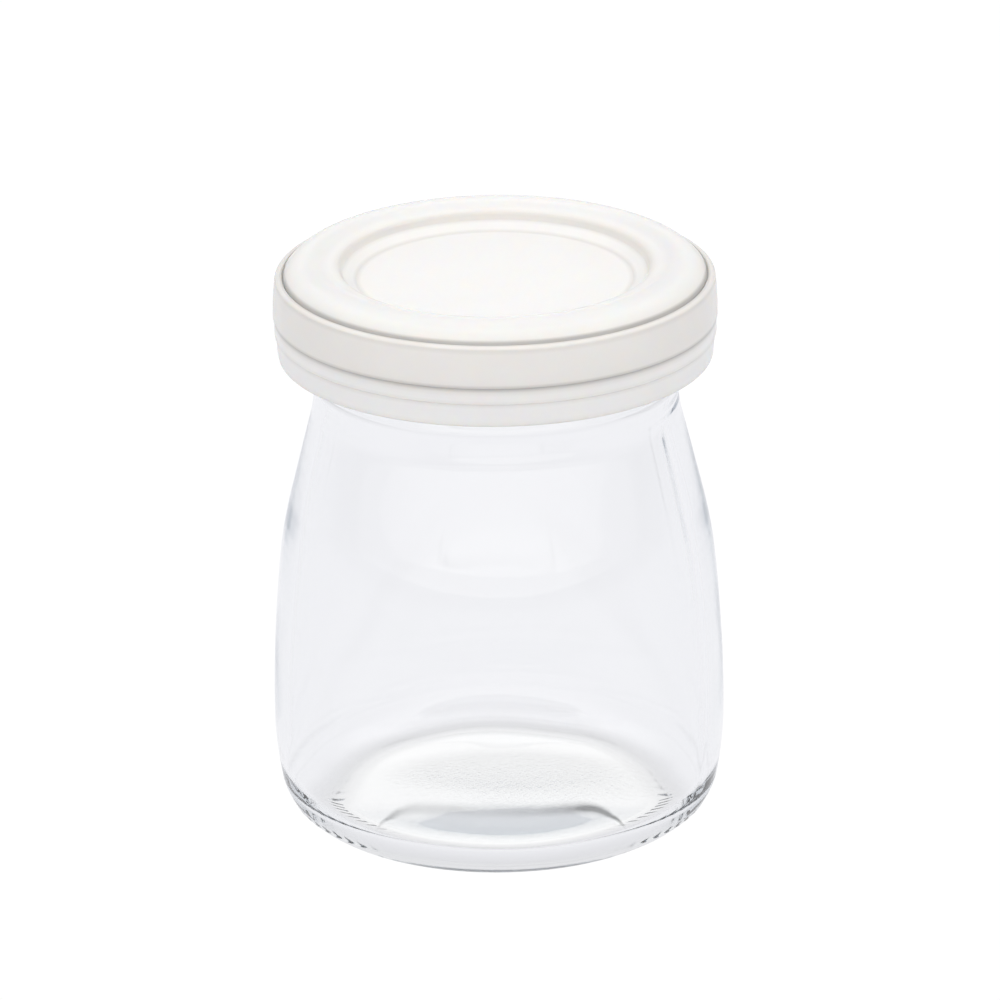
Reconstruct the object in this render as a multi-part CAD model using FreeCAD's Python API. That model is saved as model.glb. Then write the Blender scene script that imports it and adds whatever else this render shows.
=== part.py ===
"""A small clear glass dessert and yogurt jar with a press-on polyethylene lid.

Millimetres, +Z up. The origin is the middle of the ring that the jar stands on,
and Z is the axis that both pieces are turned about. There are two pieces:
glass_jar and snap_lid. The lid is modelled shut, seated on the rim of the jar.
"""
import FreeCAD
import Part
import math
import os

# ---- jar, outside ----
body_radius = 30.1           # the widest part
body_height = 58.0           # from the ground up to where the shoulder meets the neck
draw_in = 1.7                # how far the foot draws in from the widest part
draw_in_height = 10.6        # the draw-in starts this high
belly_height = 26.8          # the wall starts to lean in about here
shoulder_lean = 1.7          # how far the wall has leaned in at the shoulder
shoulder_drop = 17.3         # from the neck down to the bend of the shoulder
neck_radius = 24.1
neck_length = 18.0           # from the shoulder up to the rim
heel_rounding = 6.6
foot_band = 8.0              # the width of the foot, from its sharp corner in to the push-up
belly_rounding = 180
draw_in_rounding = 40
shoulder_rounding = 60
neck_rounding = 16
seam_rise = 3.9              # from the shoulder up to the ring left between the two moulds
seam_width = 0.8
seam_proud = 0.15

# ---- jar, inside ----
wall = 2.3
neck_wall = 2.1
push_up = 0.3                # how far the middle of the base is pushed up off the ground
push_up_edge = 0.12          # the same, just inside the standing ring
push_up_ramp = 1.5           # the width of the slope up from the standing ring
push_up_rounding = 160
base_thickness = 3.7         # in the middle, where the glass of the floor heaps up
heap_radius = 5.5            # the floor falls away from here outwards
heap_rounding = 77
floor_edge_height = 1.0      # where the floor would meet the wall if the corner were sharp
inner_corner_rounding = 6.5

# ---- rim: the bead that the lid snaps over ----
bead_proud = 3.5             # from the neck out to the bead
bead_height = 5.9            # from the rim down to the bead's lower edge
bead_slope = 3.4             # the height of the slope from the neck out to the bead
bead_top_rounding = 3.0
bead_edge_rounding = 0.8
mouth_rounding = 0.9

# ---- lid: heights are from the rim, where the lid seats ----
lid_clearance = 0.2          # between the snap ridge and the bead, all round
plug_clearance = 0.25        # between the plug and the mouth, all round
snap_ridge_proud = 0.4       # inside the skirt, below the bead
skirt_wall = 1.1
skirt_depth = 11.4           # down to the lower edge
step_in = 0.15               # each of the two steps in the outside of the skirt
lower_step_drop = 2.2        # from the upper step, level with the bead's edge, to the lower one
hem_taper = 0.3              # how far the skirt draws in below the lower step
crown_rise = 2.5             # up to where the two slopes of the crown would meet
crown_inset = 3.9            # from the outside of the skirt in to that place
crown_rounding = 4.2
crease_inset = 1.5           # from the outside of the skirt in to the crease
crease_drop = 0.15           # down to the crease
crease_width = 0.35
crease_depth = 0.5
bevel_drop = 0.7             # down to the bevel's lower edge
bevel_inset = 0.3            # from the outside of the skirt in to that edge
barrel_drop = 3.5            # down to the widest part of the skirt
barrel_rounding = 20
lip_rise = 0.8               # up to the edge of the recess
lip_lean = 0.45              # how much wider the recess is at that edge than at the ledge
ledge_width = 1.8            # the sloping ledge round the flat panel
ledge_rise = 1.0
panel_drop = 1.1             # down to the panel
panel_thickness = 1.2
plug_wall = 3.5              # from the outside of the plug in to the flat panel
plug_reach = 1.2             # the upright part of the plug

# ---- worked out from the sizes above ----
rim_height = body_height + neck_length
bead_radius = neck_radius + bead_proud
mouth_radius = neck_radius - neck_wall
foot_corner_radius = body_radius - draw_in
shoulder_radius = body_radius - shoulder_lean
shoulder_height = body_height - shoulder_drop
seam_height = body_height + seam_rise
ridge_radius = bead_radius + lid_clearance
lid_inner_radius = ridge_radius + snap_ridge_proud
skirt_radius = lid_inner_radius + skirt_wall
plug_radius = mouth_radius - plug_clearance
panel_radius = plug_radius - plug_wall
seat_rounding = bead_top_rounding + lid_clearance


def reaches(points, corners):
    """How far each corner's arc reaches along its two sides, shared out where a side is too short."""
    wanted = [0.0]
    for before, corner, after, spec in zip(points, points[1:], points[2:], corners[1:]):
        half_angle = (before - corner).getAngle(after - corner) / 2
        straight = math.pi / 2 - half_angle < 0.001
        wanted.append(0.0 if straight else spec[2] / math.tan(half_angle))
    wanted.append(0.0)
    shares = [1.0] * len(points)
    for side in range(len(points) - 1):
        length = points[side].distanceToPoint(points[side + 1])
        asked = wanted[side] + wanted[side + 1]
        if asked > length:
            shares[side] = min(shares[side], length / asked)
            shares[side + 1] = min(shares[side + 1], length / asked)
    return [reach * share for reach, share in zip(wanted, shares)]


def outline(corners):
    """Edges through (radius, height, rounding) corners in the XZ plane, with arcs at the rounded ones."""
    points = [FreeCAD.Vector(radius, 0, height) for radius, height, rounding in corners]
    edges = []
    start = points[0]
    for index, reach in enumerate(reaches(points, corners)[:-1]):
        corner = points[index]
        if index == 0:
            continue
        back = (points[index - 1] - corner).normalize()
        ahead = (points[index + 1] - corner).normalize()
        if start.distanceToPoint(corner + back * reach) > 1e-6:
            edges.append(Part.LineSegment(start, corner + back * reach).toShape())
        start = corner + ahead * reach
        if reach > 0:
            half_angle = back.getAngle(ahead) / 2
            rounding = reach * math.tan(half_angle)
            middle = (back + ahead).normalize()
            crest = corner + middle * (rounding / math.sin(half_angle) - rounding)
            edges.append(Part.Arc(corner + back * reach, crest, start).toShape())
    edges.append(Part.LineSegment(start, points[-1]).toShape())
    return edges


def turned(corners):
    """The solid that an outline sweeps round the Z axis. Its first and last corners are on the axis."""
    first = FreeCAD.Vector(0, 0, corners[0][1])
    last = FreeCAD.Vector(0, 0, corners[-1][1])
    axis = Part.LineSegment(last, first).toShape()
    face = Part.Face(Part.Wire(outline(corners) + [axis]))
    solid = face.revolve(FreeCAD.Vector(0, 0, 0), FreeCAD.Vector(0, 0, 1), 360)
    return solid if solid.Volume > 0 else solid.reversed()


def jar_outside():
    """From the pushed-up middle of the base, out over the foot and up to the rim."""
    foot_inner_radius = foot_corner_radius - foot_band
    seam_radius = neck_radius + seam_proud
    return [
        (0, push_up, 0),
        (heap_radius, push_up, push_up_rounding),
        (foot_inner_radius - push_up_ramp, push_up_edge, 6),
        (foot_inner_radius, 0, 0.6),
        (foot_corner_radius, 0, heel_rounding),
        (body_radius, draw_in_height, draw_in_rounding),
        (body_radius, belly_height, belly_rounding),
        (shoulder_radius, shoulder_height, shoulder_rounding),
        (neck_radius, body_height, neck_rounding),
        (neck_radius, seam_height - seam_width / 2, 0),
        (seam_radius, seam_height - seam_width / 4, 0),
        (seam_radius, seam_height + seam_width / 4, 0),
        (neck_radius, seam_height + seam_width / 2, 0),
        (neck_radius, rim_height - bead_height - bead_slope, 1.5),
        (bead_radius, rim_height - bead_height, bead_edge_rounding),
        (bead_radius, rim_height, bead_top_rounding),
    ]


def jar_inside():
    """From the rim down the inside of the neck and the wall to the middle of the floor."""
    return [
        (mouth_radius, rim_height, mouth_rounding),
        (mouth_radius, body_height, neck_rounding),
        (shoulder_radius - wall, shoulder_height, shoulder_rounding),
        (body_radius - wall, belly_height, belly_rounding),
        (body_radius - wall, floor_edge_height, inner_corner_rounding),
        (heap_radius, push_up + base_thickness, heap_rounding),
        (0, push_up + base_thickness, 0),
    ]


def lid_outside():
    """From the middle of the panel, over the crown and down the skirt to its lower edge."""
    panel = rim_height - panel_drop
    ledge_radius = panel_radius + ledge_width
    crease_radius = skirt_radius - crease_inset
    crease = rim_height - crease_drop
    upper_step = rim_height - bead_height
    lower_step = upper_step - lower_step_drop
    lower_skirt_radius = skirt_radius - 2 * step_in
    return [
        (0, panel, 0),
        (panel_radius, panel, 0.4),
        (ledge_radius, panel + ledge_rise, 0.3),
        (ledge_radius + lip_lean, rim_height + lip_rise, 0.8),
        (skirt_radius - crown_inset, rim_height + crown_rise, crown_rounding),
        (crease_radius, crease, 0),
        (crease_radius + crease_width / 3, crease - crease_depth, 0),
        (crease_radius + crease_width, crease - crease_depth / 2, 0),
        (skirt_radius - bevel_inset, rim_height - bevel_drop, 0.3),
        (skirt_radius, rim_height - barrel_drop, barrel_rounding),
        (skirt_radius, upper_step, 0),
        (skirt_radius - step_in, upper_step - step_in, 0),
        (skirt_radius - step_in, lower_step, 0),
        (lower_skirt_radius, lower_step - step_in, 0),
        (lower_skirt_radius - hem_taper, rim_height - skirt_depth, 0.3),
    ]


def lid_inside():
    """From the lower edge up the inside of the skirt, across the seat and down round the plug."""
    ridge_top = rim_height - bead_height - snap_ridge_proud
    underside = rim_height - panel_drop - panel_thickness
    return [
        (ridge_radius, rim_height - skirt_depth, 0.25),
        (ridge_radius, ridge_top - snap_ridge_proud, 0),
        (lid_inner_radius, ridge_top, 0.4),
        (lid_inner_radius, rim_height, seat_rounding),
        (plug_radius, rim_height, 0),
        (plug_radius - plug_clearance, rim_height - plug_reach, 0.8),
        (panel_radius + panel_thickness, underside, 0.8),
        (0, underside, 0),
    ]


shapes = {
    "glass_jar": turned(jar_outside() + jar_inside()),
    "snap_lid": turned(lid_outside() + lid_inside()),
}
os.makedirs("parts", exist_ok=True)
for name, shape in shapes.items():
    if not shape.isValid():
        raise ValueError(name + " is not a valid solid")
    shape.exportStep("parts/" + name + ".step")
    print(name, "volume", round(shape.Volume, 1), "mm3")
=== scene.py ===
import math
import bmesh
import bpy
from mathutils import Matrix, Vector, noise


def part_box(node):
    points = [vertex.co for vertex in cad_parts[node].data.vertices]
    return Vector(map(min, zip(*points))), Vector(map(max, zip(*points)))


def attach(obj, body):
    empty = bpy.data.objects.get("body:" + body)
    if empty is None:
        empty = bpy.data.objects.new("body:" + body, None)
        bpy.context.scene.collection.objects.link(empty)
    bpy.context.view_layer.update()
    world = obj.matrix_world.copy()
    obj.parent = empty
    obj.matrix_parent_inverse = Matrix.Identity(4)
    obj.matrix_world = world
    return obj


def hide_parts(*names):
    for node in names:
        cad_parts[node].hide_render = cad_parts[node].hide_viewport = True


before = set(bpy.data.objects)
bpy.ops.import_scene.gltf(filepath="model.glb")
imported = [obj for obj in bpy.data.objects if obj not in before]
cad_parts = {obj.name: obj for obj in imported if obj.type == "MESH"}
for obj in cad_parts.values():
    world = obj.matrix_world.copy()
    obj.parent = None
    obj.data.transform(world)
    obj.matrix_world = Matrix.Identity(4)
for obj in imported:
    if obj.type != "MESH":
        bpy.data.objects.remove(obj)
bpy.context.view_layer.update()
jarLow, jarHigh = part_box("glass_jar")
lidLow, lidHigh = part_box("snap_lid")
mm = 0.001
print("frame loaded, the jar stands", round(jarHigh.z, 4), "m high")


# camera: a long lens, from the front and a little above
camera = {"distance": 1.1, "elevation": 21.5, "centreHeight": 0.0372, "side": 0.00037,
          "tiltUp": 0.304, "roll": 0.58, "lens": 297.3, "sensor": 36}


def makeCamera():
    data = bpy.data.cameras.new("camera")
    data.lens = camera["lens"]
    data.sensor_width = camera["sensor"]
    cam = bpy.data.objects.new("camera", data)
    bpy.context.scene.collection.objects.link(cam)
    height = math.radians(camera["elevation"])
    tilt = height - math.radians(camera["tiltUp"])
    cam.location = (camera["side"], -camera["distance"] * math.cos(height),
                    camera["centreHeight"] + camera["distance"] * math.sin(height))
    roll = Matrix.Rotation(math.radians(-camera["roll"]), 4, "Z")
    cam.rotation_euler = (Matrix.Rotation(math.pi / 2 - tilt, 4, "X") @ roll).to_euler()
    bpy.context.scene.camera = cam


makeCamera()


# turning a profile of (radius, height, rounding, cuts) corners into a closed body
def roundCorner(bm, vert, rounding, cuts):
    sides = [(edge.other_vert(vert).co - vert.co).normalized() for edge in vert.link_edges]
    reach = rounding / math.tan(sides[0].angle(sides[1]) / 2)
    bmesh.ops.bevel(bm, geom=[vert], offset=reach, offset_type="OFFSET", affect="VERTICES",
                    segments=cuts, profile=0.5, material=-1)


def turnProfile(corners, steps, longest):
    bm = bmesh.new()
    verts = [bm.verts.new((radius, 0, height)) for radius, height, rounding, cuts in corners]
    for first, second in zip(verts, verts[1:]):
        bm.edges.new((first, second))
    for vert, (radius, height, rounding, cuts) in zip(verts, corners):
        if rounding:
            roundCorner(bm, vert, rounding, cuts)
    for edge in list(bm.edges):
        cuts = int(edge.calc_length() / longest)
        if cuts:
            bmesh.ops.subdivide_edges(bm, edges=[edge], cuts=cuts)
    bmesh.ops.spin(bm, geom=bm.verts[:] + bm.edges[:], cent=(0, 0, 0), axis=(0, 0, 1),
                   angle=2 * math.pi, steps=steps, use_merge=True)
    bmesh.ops.remove_doubles(bm, verts=bm.verts, dist=1e-6)
    bmesh.ops.recalc_face_normals(bm, faces=bm.faces)
    return bm


def finishPiece(name, bm, material, sharpAngle):
    mesh = bpy.data.meshes.new(name)
    bm.to_mesh(mesh)
    bm.free()
    mesh.materials.append(material)
    mesh.shade_smooth()
    mesh.set_sharp_from_angle(angle=math.radians(sharpAngle))
    piece = bpy.data.objects.new(name, mesh)
    bpy.context.scene.collection.objects.link(piece)
    print(name, "has", len(mesh.polygons), "faces")
    return piece


# node helpers
def nodeMaker(tree):
    def make(kind, inputs=(), **settings):
        node = tree.nodes.new(kind)
        for key, value in settings.items():
            setattr(node, key, value)
        for key, value in dict(inputs).items():
            if isinstance(value, bpy.types.NodeSocket):
                tree.links.new(value, node.inputs[key])
            else:
                node.inputs[key].default_value = value
        return node
    return make


def shorthands(make):
    def maths(operation, *values):
        return make("ShaderNodeMath", dict(enumerate(values)), operation=operation).outputs["Value"]

    def ease(value, start, end, low=0, high=1):
        limits = {"From Min": start, "From Max": end, "To Min": low, "To Max": high}
        return make("ShaderNodeMapRange", {"Value": value, **limits},
                    interpolation_type="SMOOTHSTEP").outputs["Result"]
    return maths, ease


def newMaterial(name):
    material = bpy.data.materials.new(name)
    material.use_nodes = True
    tree = material.node_tree
    tree.nodes.clear()
    return material, nodeMaker(tree)


# clear glass: smooth, slightly grey in its depth, with the faint ripple of a mould
glassLook = {
    "colour": (1, 1, 1, 1), "ior": 1.52, "roughness": 0.0,
    "depthColour": (0.875, 0.89, 0.905, 1), "depthDensity": 90,
    "rippleScale": 90, "rippleStrength": 0.05, "rippleDepth": 0.2 * mm,
    "stipplePlace": (2 * mm, 5 * mm, 0), "stippleSize": (16 * mm, 7 * mm, 1), "stippleEdge": 0.35,
    "stippleTop": 1.5 * mm, "stippleScale": 1300, "stippleStrength": 0.8, "stippleDepth": 0.1 * mm,
    # the stippled patch is tinted darker towards the dark colour: painted shade
    "stippleShade": 0.3,
    # the mark values place and shape a painted reflection, a dark curved band on the inside of the floor,
    # broken up by noise
    "paintedDarkColour": (0.05, 0.053, 0.053, 1), "markPlace": -8.8 * mm, "markWidth": 2.2 * mm,
    "markLength": 15.5 * mm, "markLift": 5 * mm, "markDroop": 7 * mm, "markBend": 10,
    "markHeight": 3 * mm, "markHeightSpan": 1.4 * mm,
    "markFadeStart": 0.6, "markFadeEnd": 2.2,  # measured on the bend towards each end
    "markPalest": 0.42, "markDarkening": 0.9, "markShift": 0.15,  # palest left of the middle
    "breakupScale": 260, "breakupLow": 0.35, "breakupHigh": 0.6, "breakupPale": 0.7,
}


def makeGlass():
    look = glassLook
    material, make = newMaterial("clear glass")
    maths, ease = shorthands(make)
    place = make("ShaderNodeTexCoord").outputs["Object"]
    spot = make("ShaderNodeSeparateXYZ", {"Vector": place}).outputs
    ripple = make("ShaderNodeTexNoise", {"Vector": place, "Scale": look["rippleScale"], "Detail": 2})
    wavy = make("ShaderNodeBump", {"Height": ripple.outputs["Fac"], "Strength": look["rippleStrength"],
                                   "Distance": look["rippleDepth"]})
    # an oval stippled patch in the middle of the underside
    moved = make("ShaderNodeVectorMath", {0: place, 1: look["stipplePlace"]}, operation="SUBTRACT")
    oval = make("ShaderNodeVectorMath", {0: moved.outputs["Vector"], 1: look["stippleSize"]},
                operation="DIVIDE")
    reach = make("ShaderNodeVectorMath", {0: oval.outputs["Vector"]}, operation="LENGTH")
    disc = ease(reach.outputs["Value"], 1 + look["stippleEdge"], 1 - look["stippleEdge"])
    stippled = maths("MULTIPLY", disc, maths("LESS_THAN", spot["Z"], look["stippleTop"]))
    pebble = make("ShaderNodeTexNoise", {"Vector": place, "Scale": look["stippleScale"], "Detail": 2})
    bump = make("ShaderNodeBump", {
        "Height": maths("MULTIPLY", pebble.outputs["Fac"], stippled), "Strength": look["stippleStrength"],
        "Distance": look["stippleDepth"], "Normal": wavy.outputs["Normal"]})
    # a painted reflection: a dark curved band painted on the inside of the floor, its ends drooping
    # towards the front; it stands in for the dark edge of a total reflection in the thick glass, so it is
    # placed for the front and stays put in other views
    onFloor = maths("COMPARE", spot["Z"], look["markHeight"], look["markHeightSpan"])
    along = maths("DIVIDE", spot["X"], look["markLength"])
    bent = maths("POWER", along, look["markBend"])
    droop = maths("MULTIPLY_ADD", bent, look["markDroop"], spot["Y"])
    level = maths("MULTIPLY_ADD", maths("POWER", along, 2), -look["markLift"], droop)
    aside = maths("ABSOLUTE", maths("SUBTRACT", level, look["markPlace"]))
    ends = make("ShaderNodeMapRange", {"Value": bent, "From Min": look["markFadeEnd"],
                                       "From Max": look["markFadeStart"]})
    square = maths("POWER", maths("ADD", along, look["markShift"]), 2)
    darker = maths("MULTIPLY_ADD", square, look["markDarkening"], look["markPalest"])
    breakupNoise = make("ShaderNodeTexNoise", {"Vector": place, "Scale": look["breakupScale"], "Detail": 3})
    reflectionBreakup = make("ShaderNodeMapRange", {"Value": breakupNoise.outputs["Fac"], "From Min": look["breakupLow"],
                                       "From Max": look["breakupHigh"], "To Min": look["breakupPale"]})
    # the painted reflection: dark across the band, fading towards its ends, broken up by noise
    paintedReflection = ease(aside, look["markWidth"], 0)
    for part in (ends.outputs["Result"], darker, reflectionBreakup.outputs["Result"], onFloor):
        paintedReflection = maths("MULTIPLY", paintedReflection, part)
    # painted shade over the stippled patch, and the painted reflection band darker still
    colour = make("ShaderNodeMix", {"Factor": maths("MULTIPLY_ADD", stippled, look["stippleShade"], paintedReflection),
                                    "A": look["colour"], "B": look["paintedDarkColour"]}, data_type="RGBA")
    shader = make("ShaderNodeBsdfPrincipled", {
        "Base Color": colour.outputs["Result"], "Roughness": look["roughness"], "IOR": look["ior"],
        "Transmission Weight": 1, "Normal": bump.outputs["Normal"]})
    depth = make("ShaderNodeVolumeAbsorption", {"Color": look["depthColour"],
                                                "Density": look["depthDensity"]})
    make("ShaderNodeOutputMaterial", {"Surface": shader.outputs[0], "Volume": depth.outputs[0]})
    return material


# milky polyethylene: soft and cloudy, letting a little light through, with painted shade along its
# creases
plasticLook = {
    "pale": (0.985, 0.965, 0.94, 1), "cloud": (0.96, 0.935, 0.905, 1), "roughness": 0.25, "ior": 1.51,
    "transmission": 0.28, "scatterDepth": (0.0003, 0.00025, 0.0002),
    "cloudScale": 140, "grainScale": 1800, "grainStrength": 0.08, "grainDepth": 0.1 * mm,
    "creaseShadeColour": (0.3, 0.295, 0.285, 1),
}


def makePlastic():
    look = plasticLook
    material, make = newMaterial("milky plastic")
    place = make("ShaderNodeTexCoord").outputs["Object"]
    cloud = make("ShaderNodeTexNoise", {"Vector": place, "Scale": look["cloudScale"], "Detail": 4})
    colour = make("ShaderNodeMix", {"Factor": cloud.outputs["Fac"], "A": look["pale"],
                                    "B": look["cloud"]}, data_type="RGBA")
    # the crease attribute holds the shade painted round the lid's lines
    crease = make("ShaderNodeAttribute", attribute_name="crease")
    shaded = make("ShaderNodeMix", {"Factor": crease.outputs["Fac"], "A": colour.outputs["Result"],
                                    "B": look["creaseShadeColour"]}, data_type="RGBA")
    grain = make("ShaderNodeTexNoise", {"Vector": place, "Scale": look["grainScale"], "Detail": 3})
    bump = make("ShaderNodeBump", {"Height": grain.outputs["Fac"], "Strength": look["grainStrength"],
                                   "Distance": look["grainDepth"]})
    shader = make("ShaderNodeBsdfPrincipled", {
        "Base Color": shaded.outputs["Result"], "Roughness": look["roughness"], "IOR": look["ior"],
        "Transmission Weight": look["transmission"], "Subsurface Weight": 1, "Subsurface Scale": 1,
        "Subsurface Radius": look["scatterDepth"], "Normal": bump.outputs["Normal"]})
    make("ShaderNodeOutputMaterial", {"Surface": shader.outputs[0]})
    return material


# the jar, in metres: its widest radius and its rim come from the frame, and the values that end in
# Round are roundings of its corners
jar = {
    "steps": 360, "longest": 2.2 * mm,
    "foot": 1.7 * mm, "footBand": 8 * mm, "heel": 6.6 * mm, "drawInHeight": 10.6 * mm,
    "bellyHeight": 26.8 * mm, "shoulderLean": 1.7 * mm, "shoulderDrop": 17.3 * mm,
    "drawInRound": 40 * mm, "bellyRound": 180 * mm, "shoulderRound": 60 * mm,
    "neckInset": 6 * mm, "neckLength": 18 * mm, "neckRound": 16 * mm,
    "wall": 2.3 * mm, "neckWall": 2.1 * mm, "base": 3.7 * mm, "innerCorner": 6.5 * mm,
    "pushUp": 0.3 * mm, "pushUpEdge": 0.12 * mm, "pushUpRamp": 1.5 * mm, "pushUpMiddle": 5.5 * mm,
    "pushUpRound": 160 * mm, "rampRound": 6 * mm, "ringRound": 0.6 * mm,
    "floorEdge": 1 * mm, "heapRound": 77 * mm,
    "seamRise": 3.9 * mm, "seamWidth": 0.8 * mm, "seamProud": 0.15 * mm,
    "beadProud": 3.5 * mm, "beadHeight": 5.9 * mm, "beadSlope": 3.4 * mm,
    "beadSlopeRound": 1.5 * mm, "beadEdgeRound": 0.8 * mm, "beadTopRound": 3 * mm,
    "mouthRound": 0.9 * mm,
    "knurls": 60, "knurlInner": 20.9 * mm, "knurlOuter": 22.7 * mm, "knurlDepth": 0.28 * mm,
    "knurlSide": 0.6, "knurlBackFade": 1.8, "knurlFront": 0.85, "knurlFrontFade": 4,
    "heelLine": 2.6 * mm, "heelLineWidth": 0.5 * mm, "heelLineProud": 0.12 * mm,
    "seams": ((-26, 0.2 * mm), (154, 0.02 * mm)), "seamSpread": 3.4,  # turn and spread in degrees
    "seamFade": 1.5 * mm, "seamFaintest": 0.25, "seamGain": 1.4, "seamOutward": 0.2,
    "wallWave": 0.12 * mm, "floorWave": 0.08 * mm, "waveScale": 70, "waveInward": 0.3, "waveUpward": 0.5,
    "sharpAngle": 40,
}


def jarCorners():
    wide, rim = jarHigh.x, jarHigh.z
    neck = wide - jar["neckInset"]
    bead = neck + jar["beadProud"]
    mouth = neck - jar["neckWall"]
    neckFoot = rim - jar["neckLength"]
    shoulder = wide - jar["shoulderLean"]
    bend = neckFoot - jar["shoulderDrop"]
    foot = wide - jar["foot"]
    ring = foot - jar["footBand"]
    seam = neckFoot + jar["seamRise"]
    half = jar["seamWidth"] / 2
    under = rim - jar["beadHeight"]
    wall, base = jar["wall"], jar["base"]
    return [
        (0, jar["pushUp"], 0, 0),
        (jar["pushUpMiddle"], jar["pushUp"], jar["pushUpRound"], 4),
        (ring - jar["pushUpRamp"], jar["pushUpEdge"], jar["rampRound"], 6),
        (ring, 0, jar["ringRound"], 4),
        (foot, 0, jar["heel"], 26),
        (wide, jar["drawInHeight"], jar["drawInRound"], 8),
        (wide, jar["bellyHeight"], jar["bellyRound"], 16),
        (shoulder, bend, jar["shoulderRound"], 10),
        (neck, neckFoot, jar["neckRound"], 10),
        (neck, seam - half, 0, 0),
        (neck + jar["seamProud"], seam - half / 2, 0, 0),
        (neck + jar["seamProud"], seam + half / 2, 0, 0),
        (neck, seam + half, 0, 0),
        (neck, under - jar["beadSlope"], jar["beadSlopeRound"], 8),
        (bead, under, jar["beadEdgeRound"], 8),
        (bead, rim, jar["beadTopRound"], 16),
        (mouth, rim, jar["mouthRound"], 10),
        (mouth, neckFoot, jar["neckRound"], 10),
        (shoulder - wall, bend, jar["shoulderRound"], 10),
        (wide - wall, jar["bellyHeight"], jar["bellyRound"], 16),
        (wide - wall, jar["floorEdge"], jar["innerCorner"], 22),
        (jar["pushUpMiddle"], jar["pushUp"] + base, jar["heapRound"], 12),
        (0, jar["pushUp"] + base, 0, 0),
    ]


def pressKnurls(bm):
    # grooves across the ring that the jar stands on, deepest at its sides and fading to front and back
    perBar = jar["steps"] // jar["knurls"]
    for vert in bm.verts:
        radius = vert.co.xy.length
        column = round(math.atan2(vert.co.y, vert.co.x) / (2 * math.pi) * jar["steps"])
        if jar["knurlInner"] < radius < jar["knurlOuter"] and vert.co.z < jar["pushUpEdge"] / 2:
            if column % perBar < perBar // 2:
                back = jar["knurlSide"] - jar["knurlBackFade"] * vert.co.y / radius
                front = jar["knurlFrontFade"] * (vert.co.y / radius + jar["knurlFront"])
                vert.co.z += jar["knurlDepth"] * min(1, max(0, min(back, front)))


def raiseSeams(bm):
    # the two upright lines where the halves of the mould met, and the line round the heel below them
    top, belly = jarHigh.z - jar["neckLength"], jar["bellyHeight"]
    for vert in bm.verts:
        out = Vector((vert.co.x, vert.co.y, 0)).normalized()
        if vert.normal.dot(out) < jar["seamOutward"] or vert.co.z > top:
            continue
        turn = math.degrees(math.atan2(vert.co.y, vert.co.x))
        for azimuth, proud in jar["seams"]:
            away = abs((turn - azimuth + 180) % 360 - 180)
            if away < jar["seamSpread"] and vert.co.z > jar["heel"]:
                rise = jar["seamGain"] * (vert.co.z - belly) / (top - belly)
                fade = min(1, max(jar["seamFaintest"], rise))
                fade *= min(1, (top - vert.co.z) / jar["seamFade"])
                ridge = 0.5 + 0.5 * math.cos(math.pi * away / jar["seamSpread"])
                vert.co += out * proud * ridge * fade
        off = abs(vert.co.z - jar["heelLine"]) / jar["heelLineWidth"]
        if off < 1:
            vert.co += vert.normal * jar["heelLineProud"] * (1 - off)


def waveInside(bm):
    # the inside of the wall and the floor is a little uneven
    for vert in bm.verts:
        out = Vector((vert.co.x, vert.co.y, 0)).normalized()
        inner = vert.normal.dot(out) < -jar["waveInward"] or vert.normal.z > jar["waveUpward"]
        if inner and jar["pushUp"] < vert.co.z < jarHigh.z - jar["neckLength"]:
            flat = max(0, vert.normal.z)
            wave = jar["wallWave"] * (1 - flat) + jar["floorWave"] * flat
            vert.co += vert.normal * wave * noise.noise(vert.co * jar["waveScale"])


def makeJar(material):
    bm = turnProfile(jarCorners(), jar["steps"], jar["longest"])
    bm.normal_update()
    waveInside(bm)
    raiseSeams(bm)
    pressKnurls(bm)
    piece = finishPiece("glassJar", bm, material, jar["sharpAngle"])
    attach(piece, "jar")
    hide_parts("glass_jar")


# the lid, in metres: its skirt and its lower edge come from the frame, its heights from the rim
lid = {
    "steps": 240, "longest": 0.6 * mm, "sharpAngle": 30,
    "skirtWall": 1.1 * mm, "ridge": 0.4 * mm, "stepIn": 0.15 * mm, "lowerStep": 2.2 * mm,
    "hemTaper": 0.3 * mm, "crownRise": 2.5 * mm, "crownInset": 3.9 * mm,
    "creaseInset": 1.5 * mm, "creaseDrop": 0.15 * mm, "creaseWidth": 0.35 * mm, "creaseDepth": 0.5 * mm,
    "bevelDrop": 0.7 * mm, "bevelInset": 0.3 * mm, "barrelDrop": 3.5 * mm, "barrelRound": 20 * mm,
    "lipRise": 0.8 * mm, "lipLean": 0.45 * mm, "ledgeWidth": 1.8 * mm, "ledgeRise": 1 * mm,
    "panelDrop": 1.1 * mm, "panelThick": 1.2 * mm,
    "plugGap": 0.25 * mm, "plugWall": 3.5 * mm, "plugReach": 1.2 * mm, "seatRound": 3.2 * mm,
    "panelRound": 0.4 * mm, "ledgeRound": 0.3 * mm, "lipRound": 0.8 * mm, "crownRound": 4.2 * mm,
    "bevelRound": 0.3 * mm, "hemRound": 0.3 * mm, "hemInnerRound": 0.25 * mm, "ridgeRound": 0.4 * mm,
    "plugRound": 0.8 * mm,
    "bevelSlope": (0.8 * mm, 0.3 * mm), "stepEdge": 0.1 * mm, "crownFoot": (1.3 * mm, 0.6 * mm),
}

# how far painted shade spreads round each line of the lid, and how strongly
lidShade = {
    "crease": (0.7 * mm, 0.9), "bevel": (0.6 * mm, 0.36), "bevelSlope": (0.9 * mm, 0.25),
    "upperStep": (0.7 * mm, 0.62), "lowerStep": (0.45 * mm, 0.2), "hem": (0.6 * mm, 0.2),
    "lip": (1.1 * mm, 0.24), "ledge": (0.5 * mm, 0.16), "panel": (0.5 * mm, 0.26),
    # glassBehindShade is painted shade on the skirt band in front of the glass bead
    "crownFoot": (2.4 * mm, 0.1), "glassBehindShade": 0.12,
}


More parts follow.
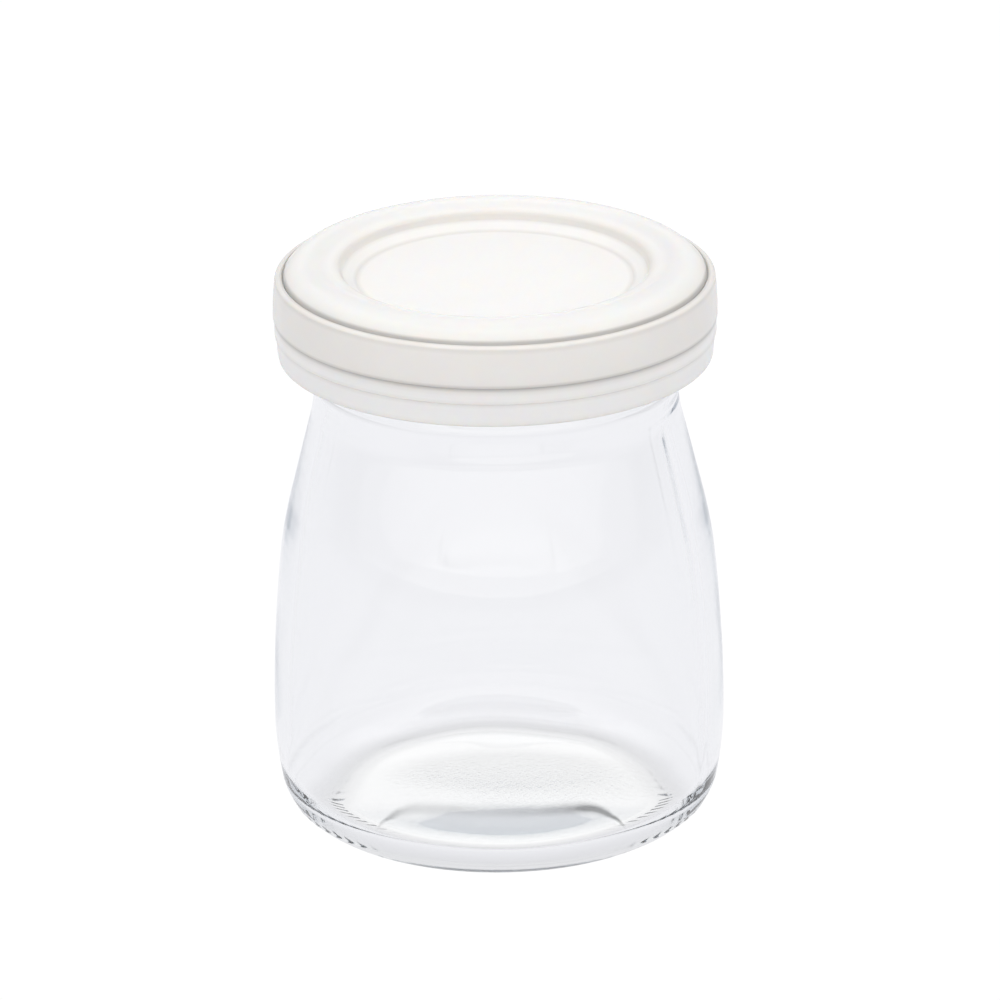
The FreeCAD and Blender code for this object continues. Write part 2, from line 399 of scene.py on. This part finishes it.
def lidCorners():
    skirt, hem, rim = lidHigh.x, lidLow.z, jarHigh.z
    inner = skirt - lid["skirtWall"]
    ridge = inner - lid["ridge"]
    step = rim - jar["beadHeight"]
    plug = jarHigh.x - jar["neckInset"] - jar["neckWall"] - lid["plugGap"]
    panelRadius = plug - lid["plugWall"]
    ledge = panelRadius + lid["ledgeWidth"]
    panel = rim - lid["panelDrop"]
    crease = rim - lid["creaseDrop"]
    creaseRadius = skirt - lid["creaseInset"]
    hemRadius = skirt - 2 * lid["stepIn"] - lid["hemTaper"]
    return [
        (0, panel, 0, 0),
        (panelRadius, panel, lid["panelRound"], 4),
        (ledge, panel + lid["ledgeRise"], lid["ledgeRound"], 4),
        (ledge + lid["lipLean"], rim + lid["lipRise"], lid["lipRound"], 6),
        (skirt - lid["crownInset"], rim + lid["crownRise"], lid["crownRound"], 14),
        (creaseRadius, crease, 0, 0),
        (creaseRadius + lid["creaseWidth"] / 3, crease - lid["creaseDepth"], 0, 0),
        (creaseRadius + lid["creaseWidth"], crease - lid["creaseDepth"] / 2, 0, 0),
        (skirt - lid["bevelInset"], rim - lid["bevelDrop"], lid["bevelRound"], 5),
        (skirt, rim - lid["barrelDrop"], lid["barrelRound"], 6),
        (skirt, step, 0, 0),
        (skirt - lid["stepIn"], step - lid["stepIn"], 0, 0),
        (skirt - lid["stepIn"], step - lid["lowerStep"], 0, 0),
        (skirt - 2 * lid["stepIn"], step - lid["lowerStep"] - lid["stepIn"], 0, 0),
        (hemRadius, hem, lid["hemRound"], 5),
        (ridge, hem, lid["hemInnerRound"], 5),
        (ridge, step - 2 * lid["ridge"], 0, 0),
        (inner, step - lid["ridge"], lid["ridgeRound"], 4),
        (inner, rim, lid["seatRound"], 12),
        (plug, rim, 0, 0),
        (plug - lid["plugGap"], rim - lid["plugReach"], lid["plugRound"], 5),
        (panelRadius + lid["panelThick"], panel - lid["panelThick"], lid["plugRound"], 5),
        (0, panel - lid["panelThick"], 0, 0),
    ]


def lidShadePlaces():
    # (radius, height, shade) of the places where shade is painted on the plastic
    skirt, rim = lidHigh.x, jarHigh.z
    step = rim - jar["beadHeight"]
    panelRadius = jarHigh.x - jar["neckInset"] - jar["neckWall"] - lid["plugGap"] - lid["plugWall"]
    ledge = panelRadius + lid["ledgeWidth"]
    panel = rim - lid["panelDrop"]
    slopeIn, slopeDrop = lid["bevelSlope"]
    footIn, footRise = lid["crownFoot"]
    creaseMiddle = rim - lid["creaseDrop"] - lid["creaseDepth"] / 2
    lowerStep = step - lid["lowerStep"] - lid["stepIn"] / 2
    return [
        (skirt - lid["creaseInset"], creaseMiddle, lidShade["crease"]),
        (skirt - lid["bevelInset"], rim - lid["bevelDrop"], lidShade["bevel"]),
        (skirt - slopeIn, rim - slopeDrop, lidShade["bevelSlope"]),
        (skirt - lid["stepEdge"], step - lid["stepEdge"], lidShade["upperStep"]),
        (skirt - 1.5 * lid["stepIn"], lowerStep, lidShade["lowerStep"]),
        (skirt - 2 * lid["stepIn"] - lid["hemTaper"], lidLow.z, lidShade["hem"]),
        (ledge + lid["lipLean"], rim + lid["lipRise"], lidShade["lip"]),
        (ledge, panel + lid["ledgeRise"], lidShade["ledge"]),
        (panelRadius, panel, lidShade["panel"]),
        (skirt - footIn, rim + footRise, lidShade["crownFoot"]),
    ]


def paintCreaseShade(bm):
    # paints shade round the lines of the lid; the band of the skirt outside the glass bead gets a little
    # painted shade too, for the glass seen through the plastic
    layer = bm.verts.layers.float.new("crease")
    shadePlaces = lidShadePlaces()
    step, bevel = jarHigh.z - jar["beadHeight"], jarHigh.z - lid["bevelDrop"]
    for vert in bm.verts:
        radius = vert.co.xy.length
        onBand = radius > lidHigh.x - lid["bevelInset"] and step <= vert.co.z < bevel
        dark = lidShade["glassBehindShade"] if onBand else 0
        for place, height, (reach, strength) in shadePlaces:
            away = math.hypot(radius - place, vert.co.z - height)
            dark = max(dark, strength * (1 - away / reach))
        vert[layer] = dark


def makeLid(material):
    bm = turnProfile(lidCorners(), lid["steps"], lid["longest"])
    paintCreaseShade(bm)
    piece = finishPiece("snapLid", bm, material, lid["sharpAngle"])
    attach(piece, "lid")
    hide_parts("snap_lid")


makeJar(makeGlass())
makeLid(makePlastic())


# floor and surround: plain white to the camera, while the jar and the lid gather graded tones from them;
# under the jar the floor glows brighter, a painted pool of light, and the shade is a painted shadow, a
# darker ring on the floor that the camera doesn't see directly
studio = {
    "lightPasses": 48, "floorSize": 12, "floorDrop": 0.03 * mm, "bright": (1.02, 1.02, 1.02, 1),
    "nearTone": (1.1, 1.1, 1.09, 1), "nearRadius": 0.022, "nearBlend": 0.004,
    "farTone": (0.93, 0.93, 0.955, 1), "edgeTone": (0.6, 0.6, 0.62, 1), "edgeStart": 0.25, "edgeEnd": 0.9,
    "sky": (1.65, 1.635, 1.61, 1), "skyFront": (1.3, 1.29, 1.27, 1), "skyBack": (0.84, 0.835, 0.845, 1),
    "frontStart": -0.1, "frontEnd": -1, "topStart": 0.45, "topEnd": 0.85,
    "shade": 0.8, "shadeRadius": 0.023, "shadeWidth": 0.006,
}


def makeFloor():
    material, make = newMaterial("pale floor")
    maths, ease = shorthands(make)
    toCamera = make("ShaderNodeLightPath").outputs["Is Camera Ray"]
    place = make("ShaderNodeTexCoord").outputs["Object"]
    reach = make("ShaderNodeVectorMath", {"Vector": place}, operation="LENGTH").outputs["Value"]
    edge, blend = studio["nearRadius"], studio["nearBlend"]
    near = ease(reach, edge - blend, edge + blend)
    far = ease(reach, studio["edgeStart"], studio["edgeEnd"])
    inner = make("ShaderNodeMix", {"Factor": near, "A": studio["nearTone"], "B": studio["farTone"]},
                 data_type="RGBA")
    whole = make("ShaderNodeMix", {"Factor": far, "A": inner.outputs["Result"], "B": studio["edgeTone"]},
                 data_type="RGBA")
    # the painted shadow: a darker ring round the jar's foot
    apart = maths("ABSOLUTE", maths("SUBTRACT", reach, studio["shadeRadius"]))
    shade = ease(apart, 0, studio["shadeWidth"], low=studio["shade"])
    seen = make("ShaderNodeMix", {"Factor": toCamera, "A": whole.outputs["Result"],
                                  "B": studio["bright"]}, data_type="RGBA")
    glow = make("ShaderNodeEmission", {"Color": seen.outputs["Result"],
                                       "Strength": maths("MAXIMUM", toCamera, shade)})
    make("ShaderNodeOutputMaterial", {"Surface": glow.outputs[0]})
    bm = bmesh.new()
    bmesh.ops.create_grid(bm, x_segments=1, y_segments=1, size=studio["floorSize"] / 2)
    bmesh.ops.translate(bm, verts=bm.verts, vec=(0, 0, -studio["floorDrop"]))
    floor = finishPiece("floor", bm, material, 30)


def makeSurround():
    world = bpy.data.worlds.new("white surround")
    world.use_nodes = True
    world.node_tree.nodes.clear()
    make = nodeMaker(world.node_tree)
    ease = shorthands(make)[1]
    toCamera = make("ShaderNodeLightPath").outputs["Is Camera Ray"]
    place = make("ShaderNodeTexCoord").outputs["Generated"]
    height = make("ShaderNodeSeparateXYZ", {"Vector": place}).outputs
    front = ease(height["Y"], studio["frontStart"], studio["frontEnd"])
    top = ease(height["Z"], studio["topStart"], studio["topEnd"])
    low = make("ShaderNodeMix", {"Factor": front, "A": studio["skyBack"], "B": studio["skyFront"]},
               data_type="RGBA")
    sky = make("ShaderNodeMix", {"Factor": top, "A": low.outputs["Result"], "B": studio["sky"]},
               data_type="RGBA")
    seen = make("ShaderNodeMix", {"Factor": toCamera, "A": sky.outputs["Result"], "B": studio["bright"]},
                data_type="RGBA")
    glow = make("ShaderNodeBackground", {"Color": seen.outputs["Result"]})
    make("ShaderNodeOutputWorld", {"Surface": glow.outputs[0]})
    bpy.context.scene.world = world
    bpy.context.scene.view_settings.view_transform = "Standard"


makeFloor()
makeSurround()
bpy.context.scene.cycles.max_bounces = studio["lightPasses"]
bpy.context.scene.cycles.transmission_bounces = studio["lightPasses"]
bpy.context.scene.cycles.glossy_bounces = studio["lightPasses"]
print("floor and surround made")
